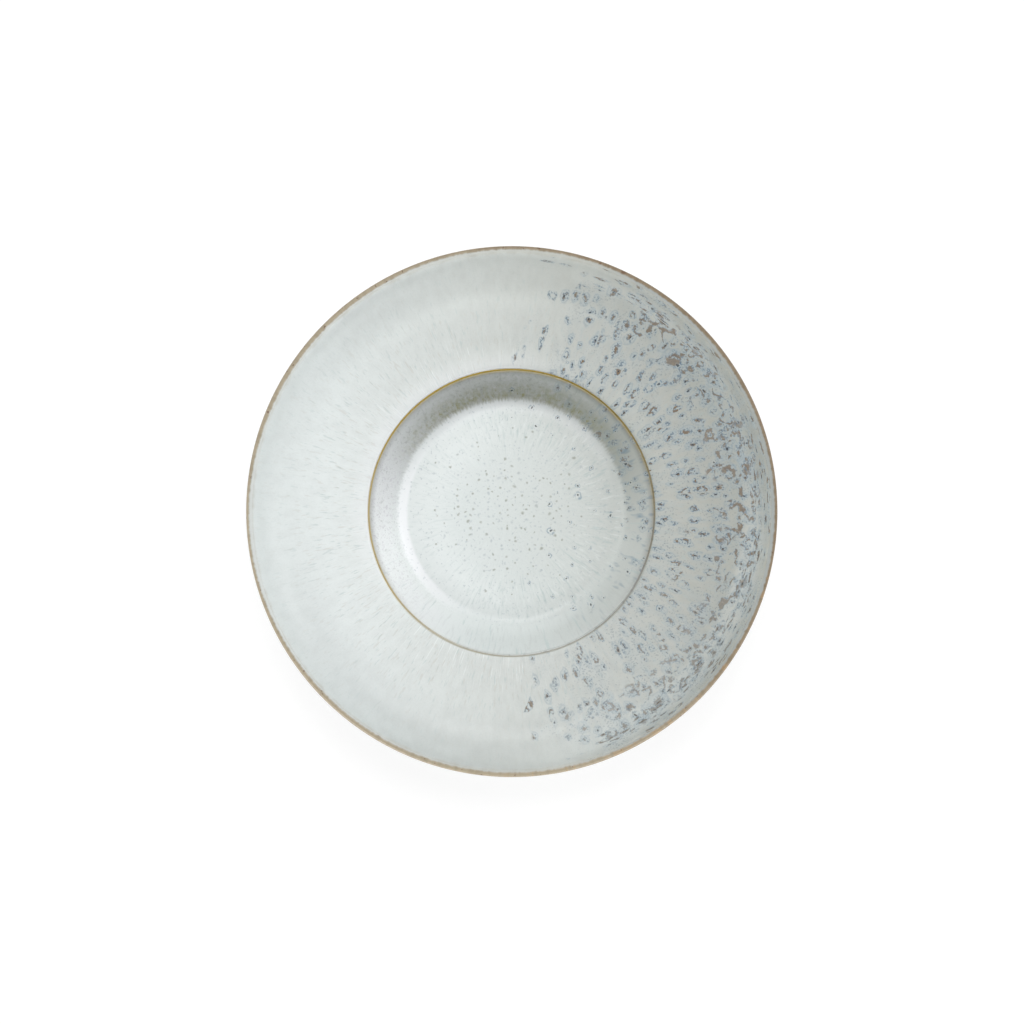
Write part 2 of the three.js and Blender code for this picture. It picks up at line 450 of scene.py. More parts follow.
# %% [markdown]
# The camera looks straight down, as the photograph does, from far enough that the frame is 231 mm wide at
# the lip. It leans by about two degrees: in the photograph the edge of the well lies a little nearer the
# viewer than the lip.

# %% Camera
LIP_HEIGHT = cad_box[1][2]
CAMERA_HEIGHT = 0.6407  # metres above the lip
CAMERA_ASIDE = (-0.0045, -0.0209)
CAMERA_AIM = -0.0003

camera = bpy.data.objects.new("camera", bpy.data.cameras.new("camera"))
camera.data.lens = 100
camera.data.sensor_width = 36
camera.location = (*CAMERA_ASIDE, LIP_HEIGHT + CAMERA_HEIGHT)
lean = (CAMERA_AIM - CAMERA_ASIDE[1]) / CAMERA_HEIGHT
camera.rotation_euler = (lean, CAMERA_ASIDE[0] / CAMERA_HEIGHT, 0)
bpy.context.scene.collection.objects.link(camera)
bpy.context.scene.camera = camera
print("camera at", tuple(round(v, 3) for v in camera.location))

# %% [markdown]
# The light is a soft box high on the far side, which leaves the far wall of the well in shade, a weaker
# box on each side, and two low strips on the near side. The lip hides the strips from the flat of the
# rim, so they only fill the far half of the upturned edge.

# %% Lamps
def lamp(name, azimuth, elevation, distance, width, height, watts, aim=0.012):
    """A rectangular soft lamp that faces a point on the axis at the height aim."""
    data = bpy.data.lights.new(name, "AREA")
    data.shape = "RECTANGLE"
    data.size = width
    data.size_y = height
    data.energy = watts
    obj = bpy.data.objects.new(name, data)
    climb = math.radians(elevation)
    away = Vector(towards(azimuth)) * math.cos(climb) + Vector((0, 0, math.sin(climb)))
    obj.location = Vector((0, 0, aim)) + away * distance
    obj.rotation_euler = (-away).to_track_quat("-Z", "Y").to_euler()
    obj.visible_camera = False
    bpy.context.scene.collection.objects.link(obj)


SIDE_BOX = {"elevation": 25, "distance": 0.9, "width": 0.5, "height": 0.25}
LOW_STRIP = {"elevation": 4.5, "distance": 0.35, "width": 0.3, "height": 0.04, "aim": 0.018}
lamp("key", azimuth=90, elevation=66, distance=1.0, width=0.5, height=0.5, watts=7.4)
lamp("right", azimuth=20, watts=2.9, **SIDE_BOX)
lamp("left", azimuth=175, watts=2.2, **SIDE_BOX)
lamp("low_left", azimuth=235, watts=0.7, **LOW_STRIP)
lamp("low_right", azimuth=305, watts=0.65, **LOW_STRIP)
bpy.context.scene.view_settings.view_transform = "Standard"

# %% [markdown]
# The background is plain white. Light Path tells a ray from the camera, or one that a shiny surface sends
# on, from the light that bounces about the room: the first kinds see white, and only a little of that
# lights the dish. The floor glows most of its white and takes the rest from the lamps, so the dish still
# casts a shadow.

# %% Floor and backdrop
PAPER_WHITE = (1, 1, 1, 1)
ROOM_LIGHT = 0.02
FLOOR_SIZE = 6
FLOOR_GAP = 0.0002  # metres from the floor up to the foot ring
FLOOR_GLOW = 0.84
FLOOR_GREY = (0.8, 0.8, 0.8, 1)
SHADOW_GREY = (0.2, 0.2, 0.2, 1)


def plain_view(tree):
    """1 for rays that should see the plain white background, else 0."""
    seen = node(tree, "ShaderNodeLightPath").outputs
    first = calc(tree, "MAXIMUM", seen["Is Camera Ray"], seen["Is Glossy Ray"])
    return calc(tree, "MAXIMUM", first, seen["Is Transmission Ray"])


world = bpy.data.worlds.new("studio")
world.use_nodes = True
bpy.context.scene.world = world
tree = world.node_tree
strength = rise(tree, plain_view(tree), 0, 1, ROOM_LIGHT, 1.0)
fill(tree, tree.nodes["Background"], {"Color": PAPER_WHITE, "Strength": strength})

bpy.ops.object.select_all(action="DESELECT")
bpy.ops.mesh.primitive_plane_add(size=FLOOR_SIZE, location=(0, 0, -FLOOR_GAP))
floor = bpy.context.active_object
floor.name = "floor"
material = bpy.data.materials.new("floor")
material.use_nodes = True
tree = material.node_tree
tree.nodes.remove(tree.nodes["Principled BSDF"])
lit = node(tree, "ShaderNodeBsdfDiffuse", {"Color": FLOOR_GREY}).outputs[0]
shadowed = node(tree, "ShaderNodeBsdfDiffuse", {"Color": SHADOW_GREY}).outputs[0]
glow = node(tree, "ShaderNodeEmission", {"Color": PAPER_WHITE, "Strength": FLOOR_GLOW}).outputs[0]
pale = node(tree, "ShaderNodeAddShader", {0: shadowed, 1: glow}).outputs[0]
surface = node(tree, "ShaderNodeMixShader", {0: plain_view(tree), 1: lit, 2: pale}).outputs[0]
tree.links.new(surface, tree.nodes["Material Output"].inputs["Surface"])
floor.data.materials.append(material)
print("floor:", floor.name)

# %% [markdown]
# All the coats are one satin glaze over the same clay, so they and the clay start from one function. It
# makes a Principled shader and gives it the places in the flow and the kiln marks to read. A second one
# links the finished colour, the gloss and the relief. On the show side the ground also has one rule
# everywhere: a cool white on the left turns to a warm grey on the right, where more iron came in. Many
# tones below belong to one side of the dish, some because the glaze ran and pooled differently round it
# and some as painted light and shade; a side is named by its azimuth: 0 is the right, 90 the far side,
# 180 the left and 270 the near side.

# %% One way to start and finish every glaze
COOL = colour("#e2e9e8")
WARM = colour("#b3b5ad")
BRIGHT = colour("#e9efee")
DEEP = colour("#23292c")
REACTIVE_REACH = 45.0  # mm from the axis over which the iron comes in
SATIN = (0.42, 0.54)  # roughness of the glaze in the hollows and on the heights of its peel
COAT_RELIEF = 0.00004  # metres


def start(name):
    """A material with its tree, its shader, the places in the flow and the kiln marks."""
    made = bpy.data.materials.new(name)
    made.use_nodes = True
    tree = made.node_tree
    place = tree.nodes.new("ShaderNodeTexCoord").outputs["Object"]
    at = use_group(tree, flow_group, {"Place": place})
    kiln = use_group(tree, kiln_group, {"Millimetres": at["Millimetres"], "Flow": at["Flow"]})
    return made, tree, tree.nodes["Principled BSDF"], at, kiln


def complete(made, tree, shader, skin, gloss, height, relief, *names):
    """Link the colour, the gloss and the relief, and put the material on its pieces."""
    bump = node(tree, "ShaderNodeBump", {"Strength": 1.0, "Distance": relief, "Height": height}).outputs[0]
    fill(tree, shader, {"Base Color": skin, "Roughness": gloss, "Normal": bump})
    for name in names:
        pieces[name].data.materials.append(made)
    print(made.name, "on", ", ".join(names), "-", len(tree.nodes), "nodes")


def warm_share(tree, at, start_share, slope, curve):
    """How warm the ground is, from the distance towards the speckled side."""
    across = calc(tree, "DIVIDE", at["Side"], REACTIVE_REACH)
    share = calc(tree, "MULTIPLY_ADD", across, slope, start_share)
    return calc(tree, "MULTIPLY_ADD", times(tree, across, across), curve, share, clamp=True)


def facing(tree, at, azimuth):
    """1 on the side of the dish at this azimuth in degrees, -1 on the side across from it."""
    return vector(tree, "DOT_PRODUCT", at["Flow"], towards(azimuth))["Value"]


def on_side(tree, at, azimuth, start, full, low=0.0, high=1.0):
    """A share that rises from low to high as a point comes to face this azimuth."""
    return rise(tree, facing(tree, at, azimuth), start, full, low, high)


def deepen(tree, share, skin):
    """The same colour with a share of a dark tone in it: dark glaze, and painted shade where a mask of
    shade calls for it.
    """
    return blend(tree, share, skin, DEEP)


def mottle(tree, kiln, skin, grain_share, cloud_share):
    """Darken a colour by the fine grain and the soft clouds."""
    skin = deepen(tree, rise(tree, kiln["Grain"], 0.35, 0.75, 0.0, grain_share), skin)
    return deepen(tree, rise(tree, kiln["Clouds"], 0.35, 0.7, 0.0, cloud_share), skin)


print("glaze colours ready")

# %% [markdown]
# The coat on the rim is the show side. Its ground is laid first: the cool to warm turn, painted shade
# where the edge turns up and on the near side, and a great many faint strokes that follow the flow,
# cool and warm ones all over and white ones by the well on the pale side. Where a tone begins and
# ends is told from a few landmarks.

# %% Rim glaze, the ground
TEAL = colour("#a9bbba")
TAUPE = colour("#b8b4a8")
WHITE = colour("#edf2f1")

# Runs in mm: the middle of the flat rim, where its edge turns up, where it is steep, and the coat's end
FLAT = 47.0
UPTURN = 56.0
STEEP = 64.0
LIP = 70.0


def add_strokes(tree, at, skin, tint, share, fineness, length, shift=0.0):
    """Faint short strokes along the flow."""
    drawn_out = stretch(tree, at["Flow"], (fineness, fineness, 1 / length), (shift,) * 3)
    lines = noise(tree, drawn_out, 1.0, 1.0)
    return blend(tree, times(tree, rise(tree, lines, 0.6, 0.74), share), skin, tint)


def rim_ground(tree, at, kiln):
    """The rim's colour before any stroke or spot, with painted shade on the upturned edge and on the near
    side.
    """
    share = sway(tree, kiln["Clouds"], 0.06, warm_share(tree, at, 0.5, 0.52, -0.02))
    skin = blend(tree, share, BRIGHT, WARM)
    # Painted shade where the edge turns up, less of it on the far side and near right.
    far = on_side(tree, at, 62, 0.4, 1.0, 0.0, 0.13)
    near_right = on_side(tree, at, 320, 0.5, 0.9, 0.0, 0.17)
    thin_glaze_and_edge_shade = calc(tree, "SUBTRACT", 0.17, calc(tree, "MAXIMUM", far, near_right))
    skin = deepen(tree, times(tree, rise(tree, at["Run"], UPTURN - 3, LIP - 2), thin_glaze_and_edge_shade), skin)
    # Painted shade on the near side of the bend.
    bend = hump(tree, at["Run"], UPTURN - 6, UPTURN + 3, STEEP - 3, STEEP + 3)
    skin = deepen(tree, times(tree, on_side(tree, at, 250, 0.35, 0.95), bend, 0.1), skin)
    slope = hump(tree, at["Run"], UPTURN + 3, STEEP - 2, STEEP + 2, LIP - 1)
    skin = blend(tree, times(tree, slope, on_side(tree, at, 318, 0.6, 0.95), 0.25), skin, WHITE)
    # Painted shade deepening a little towards the lip.
    skin = deepen(tree, rise(tree, at["Run"], STEEP, LIP - 1, 0.0, 0.03), skin)
    flat = hump(tree, at["Run"], FLAT - 5, FLAT, FLAT + 5, FLAT + 10)
    skin = deepen(tree, times(tree, flat, on_side(tree, at, 88, 0.3, 0.95), 0.07), skin)
    # Painted shade over the whole near side.
    skin = deepen(tree, on_side(tree, at, 280, 0.2, 0.9, 0.0, 0.05), skin)
    return mottle(tree, kiln, skin, 0.03, 0.03)


rim, tree, rim_shader, at, kiln = start("rim glaze")
skin = rim_ground(tree, at, kiln)
by_well = times(tree, rise(tree, at["Run"], FLAT + 5, FLAT - 7), rise(tree, at["Side"], 15, -10), 0.8)
skin = add_strokes(tree, at, skin, WHITE, by_well, fineness=150, length=6.0, shift=3.0)
fading = rise(tree, at["Run"], STEEP, FLAT - 1, 0.4, 1.0)
skin = add_strokes(tree, at, skin, TEAL, times(tree, fading, 0.36), fineness=100, length=2.2)
skin = add_strokes(tree, at, skin, TAUPE, times(tree, fading, 0.26), fineness=85, length=2.4, shift=7.0)
print("rim ground:", len(tree.nodes), "nodes")

# %% [markdown]
# Then the spots. Their number follows the same left to right turn, with a cloudy front. First comes what
# the finest drops left, a haze, a mist drawn out along the flow and a dust of dark grains, and over it
# the small eyes that lie all over the speckled side.

# %% Rim glaze, the haze and the eyes
WASH = colour("#a2b1b8")
SLATE = colour("#4b6072")
SLATE_WASH = colour("#8f9ea6")
BROWN = colour("#7a6549")
PIN = colour("#1b2833")


def crowding(tree, at):
    """How thickly the drops lie: none on the pale side, all on the speckled one, with a cloudy front.

    Near the lip the front lies further towards the speckled side.
    """
    clouds = noise(tree, at["Millimetres"], 0.11, 2.0)
    across = times(tree, split(tree, at["Millimetres"])[0], 1 / REACTIVE_REACH)
    across = calc(tree, "SUBTRACT", across, rise(tree, at["Run"], UPTURN, STEEP, 0.0, 0.2))
    return rise(tree, sway(tree, clouds, 0.35, across), -0.05, 0.55)


def lay_eyes(tree, at, kiln, skin, pitch, density, heat, share, shift=(0, 0)):
    """Lay reactive eyes over a colour, and give back the colour and the eyes.

    The pitch is the size of a cell in mm, round the rim and along the run.
    """
    cells = stretch(tree, at["Unrolled"], (1 / pitch[0], 1 / pitch[1], 0), (*shift, 0))
    sockets = {"Cells": cells, "Grain": kiln["Grain"], "Density": density, "Heat": heat}
    eyes = use_group(tree, eye_group, sockets)
    skin = blend(tree, times(tree, eyes["Wash"], 0.5, share), skin, WASH)
    skin = blend(tree, times(tree, eyes["Outline"], 0.45, share), skin, SLATE_WASH)
    skin = blend(tree, times(tree, eyes["Core"], 0.85, share), skin, BROWN)
    skin = blend(tree, times(tree, eyes["Stipple"], 0.6, share), skin, SLATE)
    return blend(tree, times(tree, eyes["Pin"], 0.9, share), skin, PIN), eyes


crowd = crowding(tree, at)
outer = rise(tree, at["Run"], FLAT + 2, UPTURN + 2)
below_lip = rise(tree, at["Run"], STEEP + 3.5, STEEP)
below_lip = times(tree, below_lip, on_side(tree, at, 308, 0.7, 0.95, 1.0, 0.7))

haze = rise(tree, noise(tree, stretch(tree, at["Unrolled"], (0.16, 0.09, 0)), 1.0, 3.0), 0.4, 0.65)
skin = blend(tree, times(tree, haze, crowd, 0.13), skin, WASH)
mist = rise(tree, noise(tree, stretch(tree, at["Unrolled"], (0.7, 0.2, 0)), 1.0, 3.0), 0.42, 0.62)
skin = blend(tree, times(tree, mist, crowd, 0.16), skin, WASH)
dust = rise(tree, sway(tree, haze, 0.05, noise(tree, at["Millimetres"], 2.4, 1.0, 0.6)), 0.58, 0.72)
skin = blend(tree, times(tree, dust, crowd, 0.4), skin, SLATE)
heat = rise(tree, outer, 0, 1, -0.2, 0.0)
strong = times(tree, below_lip, rise(tree, outer, 0, 1, 1.25, 1.0))
skin, eyes = lay_eyes(tree, at, kiln, skin, (2.5, 4.3), times(tree, crowd, 0.9), heat, strong)
print("rim haze and eyes:", len(tree.nodes), "nodes")

# %% [markdown]
# Further out the drops lay thicker. There, wide eyes and curls come over the small ones. A few ringed
# pins are strewn in between, and on the steep edge below the lip the eyes are drawn into short dashes
# round it.

# %% Rim glaze, the curls, the pins and the dashes
RING = colour("#d3dadb")
BLUE = colour("#41708f")


def lay_pins(tree, at, skin, density):
    """Lay ringed pins over a colour, and give back the colour and the pins."""
    pins = use_group(tree, pin_group, {"Millimetres": at["Millimetres"], "Density": density})
    skin = blend(tree, times(tree, pins["Halo"], 0.12), skin, RING)
    skin = blend(tree, times(tree, pins["Ring"], 0.5), skin, BLUE)
    return blend(tree, times(tree, pins["Pin"], 0.85), skin, PIN), pins


thick = times(tree, rise(tree, crowd, 0.5, 1.0), outer)
wide = {"pitch": (4.6, 5.2), "shift": (0.4, 0.7), "density": times(tree, thick, 0.5), "heat": 0.2}
skin, _ = lay_eyes(tree, at, kiln, skin, share=times(tree, below_lip, 0.9), **wide)
density = calc(tree, "MULTIPLY_ADD", thick, 3.0, -2.65)
sockets = {"Unrolled": at["Unrolled"], "Grain": kiln["Grain"], "Density": density}
curls = use_group(tree, curl_group, sockets)
skin = blend(tree, times(tree, curls["Wash"], 0.45, below_lip), skin, WASH)
skin = blend(tree, times(tree, curls["Core"], 0.85, below_lip), skin, BROWN)
skin = blend(tree, times(tree, curls["Stipple"], 0.6, below_lip), skin, SLATE)

skin, _ = lay_pins(tree, at, skin, times(tree, crowd, 0.08))
steep = times(tree, crowd, rise(tree, at["Run"], STEEP - 3.5, STEEP))
dashes = {"pitch": (4.0, 1.4), "shift": (0.2, 0.5), "density": steep, "heat": 0.1}
skin, _ = lay_eyes(tree, at, kiln, skin, share=on_side(tree, at, 308, 0.7, 0.95, 1.0, 0.8), **dashes)
print("rim spots:", len(tree.nodes), "nodes")

# %% [markdown]
# Last the borders of the coat. By the well a painted highlight makes it whiter on the far left, along the
# coat's rounded border, and it is greyer near the viewer. Towards the lip it thins, and the clay's colour
# begins to show through, and painted shade darkens the far right there. The relief is the orange peel,
# with the spots sunk a little where the drops boiled.

# %% Rim glaze, the borders and the relief
HIGHLIGHT_WHITE = colour("#fbfdff")
BEIGE = colour("#a0957f")
OCHRE = colour("#a58d36")
OLIVE_GREY = colour("#9b998e")

WELL_EDGE = 32.75  # radius in mm

# Painted highlight along the coat's rounded border by the well, on the far left.
far_left = on_side(tree, at, 145, 0.1, 0.8)
border = rise(tree, at["Radius"], WELL_EDGE + 5.25, WELL_EDGE + 0.75)
skin = blend(tree, times(tree, border, far_left, 0.3), skin, HIGHLIGHT_WHITE)
brink = rise(tree, at["Radius"], WELL_EDGE + 0.75, WELL_EDGE + 0.35)
skin = blend(tree, times(tree, brink, far_left, 0.6), skin, HIGHLIGHT_WHITE)
near = on_side(tree, at, 285, 0.45, 0.95)
border = rise(tree, at["Radius"], WELL_EDGE + 3.25, WELL_EDGE + 0.75)
skin = deepen(tree, times(tree, border, near, 0.06), skin)
brink = rise(tree, at["Radius"], WELL_EDGE + 0.55, WELL_EDGE + 0.3)
skin = blend(tree, times(tree, brink, near, 0.7), skin, OLIVE_GREY)
brink = rise(tree, at["Radius"], WELL_EDGE + 0.45, WELL_EDGE + 0.25)
skin = blend(tree, times(tree, brink, on_side(tree, at, 210, 0.2, 0.8), 0.25), skin, OCHRE)

lip_front = sway(tree, kiln["Clouds"], 0.8, at["Run"])
skin = blend(tree, rise(tree, lip_front, LIP - 1.4, LIP + 0.2, 0.0, 0.35), skin, BEIGE)
# Painted shade on the far right, just inside the lip.
shaded = times(tree, rise(tree, at["Run"], LIP - 4, LIP - 1), on_side(tree, at, 45, 0.8, 1.0))
skin = deepen(tree, times(tree, shaded, 0.09), skin)
pitted = calc(tree, "MULTIPLY_ADD", eyes["Stipple"], -0.5, kiln["Peel"])
gloss = rise(tree, kiln["Peel"], 0.3, 0.7, *SATIN)
complete(rim, tree, rim_shader, skin, gloss, pitted, COAT_RELIEF, "rim_coat")

# %% [markdown]
# The coat in the well is the same glaze where it pooled. The seat is whiter than the rim, with soft
# threads round its border. A painted highlight lies as a bright crescent on the left, in the hollow at the
# foot of the wall, and painted light as a fainter one on the far side.

# %% Well glaze, the seat
SEAT = 24.0  # radius in mm at which the flat seat ends
WALL = 26.5  # radius in mm at which the straight wall begins

well, tree, well_shader, at, kiln = start("well glaze")
skin = blend(tree, warm_share(tree, at, 0.2, 0.55, 0.15), COOL, WARM)
skin = mottle(tree, kiln, skin, 0.03, 0.02)
threads = noise(tree, stretch(tree, at["Flow"], (36, 36, 0.45)), 1.0, 3.0)
belt = hump(tree, at["Radius"], SEAT - 14, SEAT - 4, SEAT, SEAT + 3)
skin = blend(tree, times(tree, rise(tree, threads, 0.54, 0.7), belt, 0.3), skin, WHITE)
skin = blend(tree, times(tree, rise(tree, threads, 0.46, 0.28), belt, 0.35), skin, TEAL)
skin = add_strokes(tree, at, skin, TEAL, times(tree, belt, 0.4), fineness=34, length=4.0, shift=11.0)
skin = blend(tree, times(tree, on_side(tree, at, 180, -0.2, 0.8), belt, 0.5), skin, WHITE)
# Painted highlight on the left of the hollow at the foot of the wall.
frayed = sway(tree, kiln["Grain"], 1.0, at["Radius"])
highlight_crescent = rise(tree, at["Radius"], SEAT - 0.3, SEAT + 0.5)
highlight_crescent = times(tree, highlight_crescent, rise(tree, frayed, WALL + 0.7, WALL - 0.7))
skin = blend(tree, times(tree, highlight_crescent, on_side(tree, at, 192, 0.5, 1.0, 0.0, 0.85)), skin, HIGHLIGHT_WHITE)
# Painted light on the far side of the seat's border.
far_foot_light = hump(tree, at["Radius"], SEAT - 1.5, SEAT + 1.5, WALL, WALL + 2)
skin = blend(tree, times(tree, far_foot_light, on_side(tree, at, 90, 0.3, 0.9), 0.4), skin, HIGHLIGHT_WHITE)
print("seat:", len(tree.nodes), "nodes")

# %% [markdown]
# On the wall the coat is thinner and its tone changes round the dish: olive on the far side, lilac on the
# far left, white on the left and a little deeper on the right. Painted shade lies over the olive on the far
# side and over the near side, and painted light over the white on the left. The border between wall
# and seat is feathered, because the glaze of the wall ran down onto the seat.

# %% Well glaze, the tones of the wall
LILAC = colour("#c6c6cb")
OLIVE = colour("#7f8373")

feather = noise(tree, stretch(tree, at["Flow"], (55, 55, 0.3)), 1.0, 3.0)
wall = rise(tree, sway(tree, feather, 0.7, at["Radius"]), WALL - 0.8, WALL + 0.6)
right = on_side(tree, at, 5, 0.3, 0.95)
far = on_side(tree, at, 79, -0.1, 0.95)
near = on_side(tree, at, 268, 0.2, 0.95)
# Painted light on the left wall, over its white glaze.
skin = blend(tree, times(tree, wall, on_side(tree, at, 195, 0.4, 0.95), 0.65), skin, WHITE)
left_wall_light = times(tree, rise(tree, at["Radius"], WALL, WALL + 2.5), on_side(tree, at, 195, 0.5, 0.95))
skin = blend(tree, times(tree, left_wall_light, 0.4), skin, HIGHLIGHT_WHITE)
skin = blend(tree, times(tree, wall, on_side(tree, at, 135, 0.4, 1.0), 0.35), skin, LILAC)
# Painted shade on the near side, from the seat's border up the wall.
skin = deepen(tree, times(tree, near, rise(tree, at["Radius"], SEAT - 5.5, SEAT + 1.5), 0.16), skin)
near_foot = hump(tree, at["Radius"], SEAT + 0.5, WALL - 0.2, WALL, WALL + 3)
skin = blend(tree, times(tree, near, near_foot, 0.16), skin, WHITE)
skin = deepen(tree, times(tree, wall, right, 0.07), skin)
# Painted shade on the far wall, in olive over the glaze's own olive tone.
far_wall_shade = rise(tree, at["Radius"], WALL - 0.5, WELL_EDGE - 1.75, 0.58, 0.38)
skin = blend(tree, times(tree, wall, far, far_wall_shade), skin, OLIVE)
print("wall tones:", len(tree.nodes), "nodes")

# %% [markdown]
# Over these tones lies what the glaze left as it ran down: a coarse grain on the far left, strokes of
# teal near the viewer and of slate and blue on the right, and moss green flecks on the far side. Just
# under the well's edge lies painted shade, none of it near the viewer, with a tinge of ochre.

# %% Well glaze, the grain and the strokes of the wall
MOSS = colour("#8a8648")


def ochre_share(tree, at):
    """The ochre is strong on the far side and faint on the near one, and broken along its length."""
    around = noise(tree, stretch(tree, at["Flow"], (5, 5, 0)), 1.0, 3.0)
    return rise(tree, sway(tree, around, 0.35, facing(tree, at, 118)), -1.0, 0.3)


grainy = times(tree, wall, on_side(tree, at, 140, -0.3, 0.6))
coarse = noise(tree, at["Millimetres"], 1.1, 3.0, 0.75)
skin = deepen(tree, times(tree, grainy, rise(tree, coarse, 0.5, 0.72, 0.0, 0.26)), skin)
skin = blend(tree, times(tree, grainy, rise(tree, coarse, 0.5, 0.3, 0.0, 0.65)), skin, LILAC)
skin = deepen(tree, times(tree, wall, near, rise(tree, feather, 0.5, 0.75, 0.0, 0.1)), skin)
teal_share = times(tree, wall, on_side(tree, at, 290, -0.3, 0.6), 0.4)
skin = add_strokes(tree, at, skin, TEAL, teal_share, fineness=40, length=6.0)
slate_share = times(tree, wall, right, 0.7)
skin = add_strokes(tree, at, skin, SLATE_WASH, slate_share, fineness=26, length=4.0, shift=4.0)
blue_share = times(tree, wall, right, 0.35)
skin = add_strokes(tree, at, skin, BLUE, blue_share, fineness=18, length=4.5, shift=12.0)
skin = add_strokes(tree, at, skin, DEEP, times(tree, wall, far, 0.12), fineness=40, length=5.0, shift=2.0)

mossy = times(tree, wall, on_side(tree, at, 90, 0.3, 0.95))
mossy = times(tree, mossy, rise(tree, at["Radius"], WELL_EDGE - 1.75, WALL + 1))
blotches = noise(tree, stretch(tree, at["Flow"], (30, 30, 0.5)), 1.0, 3.0, 0.65)
skin = blend(tree, times(tree, mossy, rise(tree, blotches, 0.4, 0.65, 0.05, 0.5)), skin, MOSS)
skin = add_strokes(tree, at, skin, MOSS, times(tree, mossy, 0.6), fineness=50, length=1.1, shift=9.0)

# Painted shade just under the well's edge, strongest on the far side and at the sides, none near the
# viewer.
across = facing(tree, at, 0)
shade_under_edge = calc(tree, "MULTIPLY_ADD", times(tree, across, across), 0.22, 0.12)
shade_under_edge = times(tree, shade_under_edge, on_side(tree, at, 90, -0.95, -0.1))
shade_under_edge = calc(tree, "ADD", shade_under_edge, on_side(tree, at, 78, 0.3, 1.0, 0.0, 0.24))
below = rise(tree, at["Radius"], WELL_EDGE - 1.75, WELL_EDGE - 0.35)
skin = deepen(tree, times(tree, below, shade_under_edge), skin)
tinge = times(tree, ochre_share(tree, at), on_side(tree, at, 30, -0.9, 0.2, 0.15, 0.5))
below = rise(tree, at["Radius"], WELL_EDGE - 0.85, WELL_EDGE - 0.25)
skin = blend(tree, times(tree, below, tinge), skin, OCHRE)
print("wall:", len(tree.nodes), "nodes")

# %% [markdown]
# The middle of the seat is sprinkled with small soft dots, olive and slate, where fine drops sank
# straight down. Cells hold them as they hold the eyes, but only some of the cells do, or the eye would
# find the grid. The ringed pins come in from the right, and a few eyes lie on the wall.

# %% Well glaze, the dots, the eyes and the pins
DOT_PITCH = 1.6  # mm from one cell to the next

middle, dice = scatter(tree, wander(tree, at["Millimetres"], 0.7, 0.5), 1 / DOT_PITCH)
width = calc(tree, "MULTIPLY_ADD", times(tree, dice[1], dice[1]), 0.09, 0.12)
patches = noise(tree, at["Millimetres"], 0.12, 2.0)
share = rise(tree, sway(tree, patches, 12.0, at["Radius"]), SEAT - 2, SEAT - 15, 0.0, 0.75)
there = rise(tree, calc(tree, "SUBTRACT", share, dice[0]), 0.0, 0.05)
dot = times(tree, there, rise(tree, calc(tree, "DIVIDE", middle, width), 1.7, 0.2))
dot = times(tree, dot, rise(tree, dice[2], 0, 1, 0.3, 0.7))
skin = blend(tree, dot, skin, blend(tree, rise(tree, dice[2], 0.4, 0.5), SLATE_WASH, OLIVE))
dust = rise(tree, noise(tree, at["Millimetres"], 1.7, 1.0), 0.62, 0.74)
skin = blend(tree, times(tree, dust, rise(tree, wall, 1, 0), 0.3), skin, SLATE_WASH)

density = times(tree, crowding(tree, at), wall, on_side(tree, at, 35, 0.3, 0.95, 0.15, 0.85))
skin, _ = lay_eyes(tree, at, kiln, skin, (3.8, 3.8), density, heat=-0.3, share=0.75)
skin, pins = lay_pins(tree, at, skin, rise(tree, at["Side"], 0, 14, 0.0, 0.72))
pitted = calc(tree, "MULTIPLY_ADD", pins["Pin"], -0.5, kiln["Peel"])
gloss = rise(tree, kiln["Peel"], 0.3, 0.7, *SATIN)
complete(well, tree, well_shader, skin, gloss, pitted, COAT_RELIEF, "well_coat")

# %% [markdown]
# Where the rim breaks down into the well, the molten coat pulled back from the corner and left only a
# thin film over the clay. Thin glaze on iron-bearing clay fires to ochre. The film is strong on the far
# side, paler on the left and darker on the right. Near the viewer it is a thin tan line, pale on the side
# of the well.

# %% Ochre film on the well's edge
STRAW = colour("#c4b899")
TAN_LINE = colour("#8d8068")
FILM_RELIEF = 0.00003  # metres

film, tree, shader, at, kiln = start("well edge film")
skin = blend(tree, ochre_share(tree, at), OLIVE_GREY, OCHRE)
skin = blend(tree, on_side(tree, at, 205, 0.4, 0.95, 0.0, 0.4), skin, STRAW)
near = on_side(tree, at, 285, 0.45, 0.95)
inward = rise(tree, at["Radius"], WELL_EDGE + 0.2, WELL_EDGE - 0.05, 0.0, 0.6)
skin = blend(tree, times(tree, near, inward), skin, RING)
outward = rise(tree, at["Radius"], WELL_EDGE, WELL_EDGE + 0.2, 0.0, 0.8)
skin = blend(tree, times(tree, near, outward), skin, TAN_LINE)
skin = deepen(tree, on_side(tree, at, 10, 0.0, 0.95, 0.0, 0.42), skin)
beads = noise(tree, stretch(tree, at["Flow"], (45, 45, 0.5)), 1.0, 2.0)
skin = deepen(tree, rise(tree, beads, 0.5, 0.75, 0.0, 0.25), skin)
gloss = rise(tree, beads, 0.3, 0.7, 0.4, 0.6)
complete(film, tree, shader, skin, gloss, kiln["Peel"], FILM_RELIEF, "well_edge_film")

# %% [markdown]
# The same happened on the lip, the highest edge of all. Its crest is a thin tan line, darker on the
# right, with golden drips at the lower right and a few rusty specks where iron in the clay melted
# through. On the inside the film fades into the coat of the rim, and how far in it reaches changes round
# the dish.

# %% Tan film on the lip
TAN = colour("#7a6950")
PALE_TAN = colour("#a49881")
RUST = colour("#5a3c24")
GOLD = colour("#b3946a")
LIP_RADIUS = 60.0

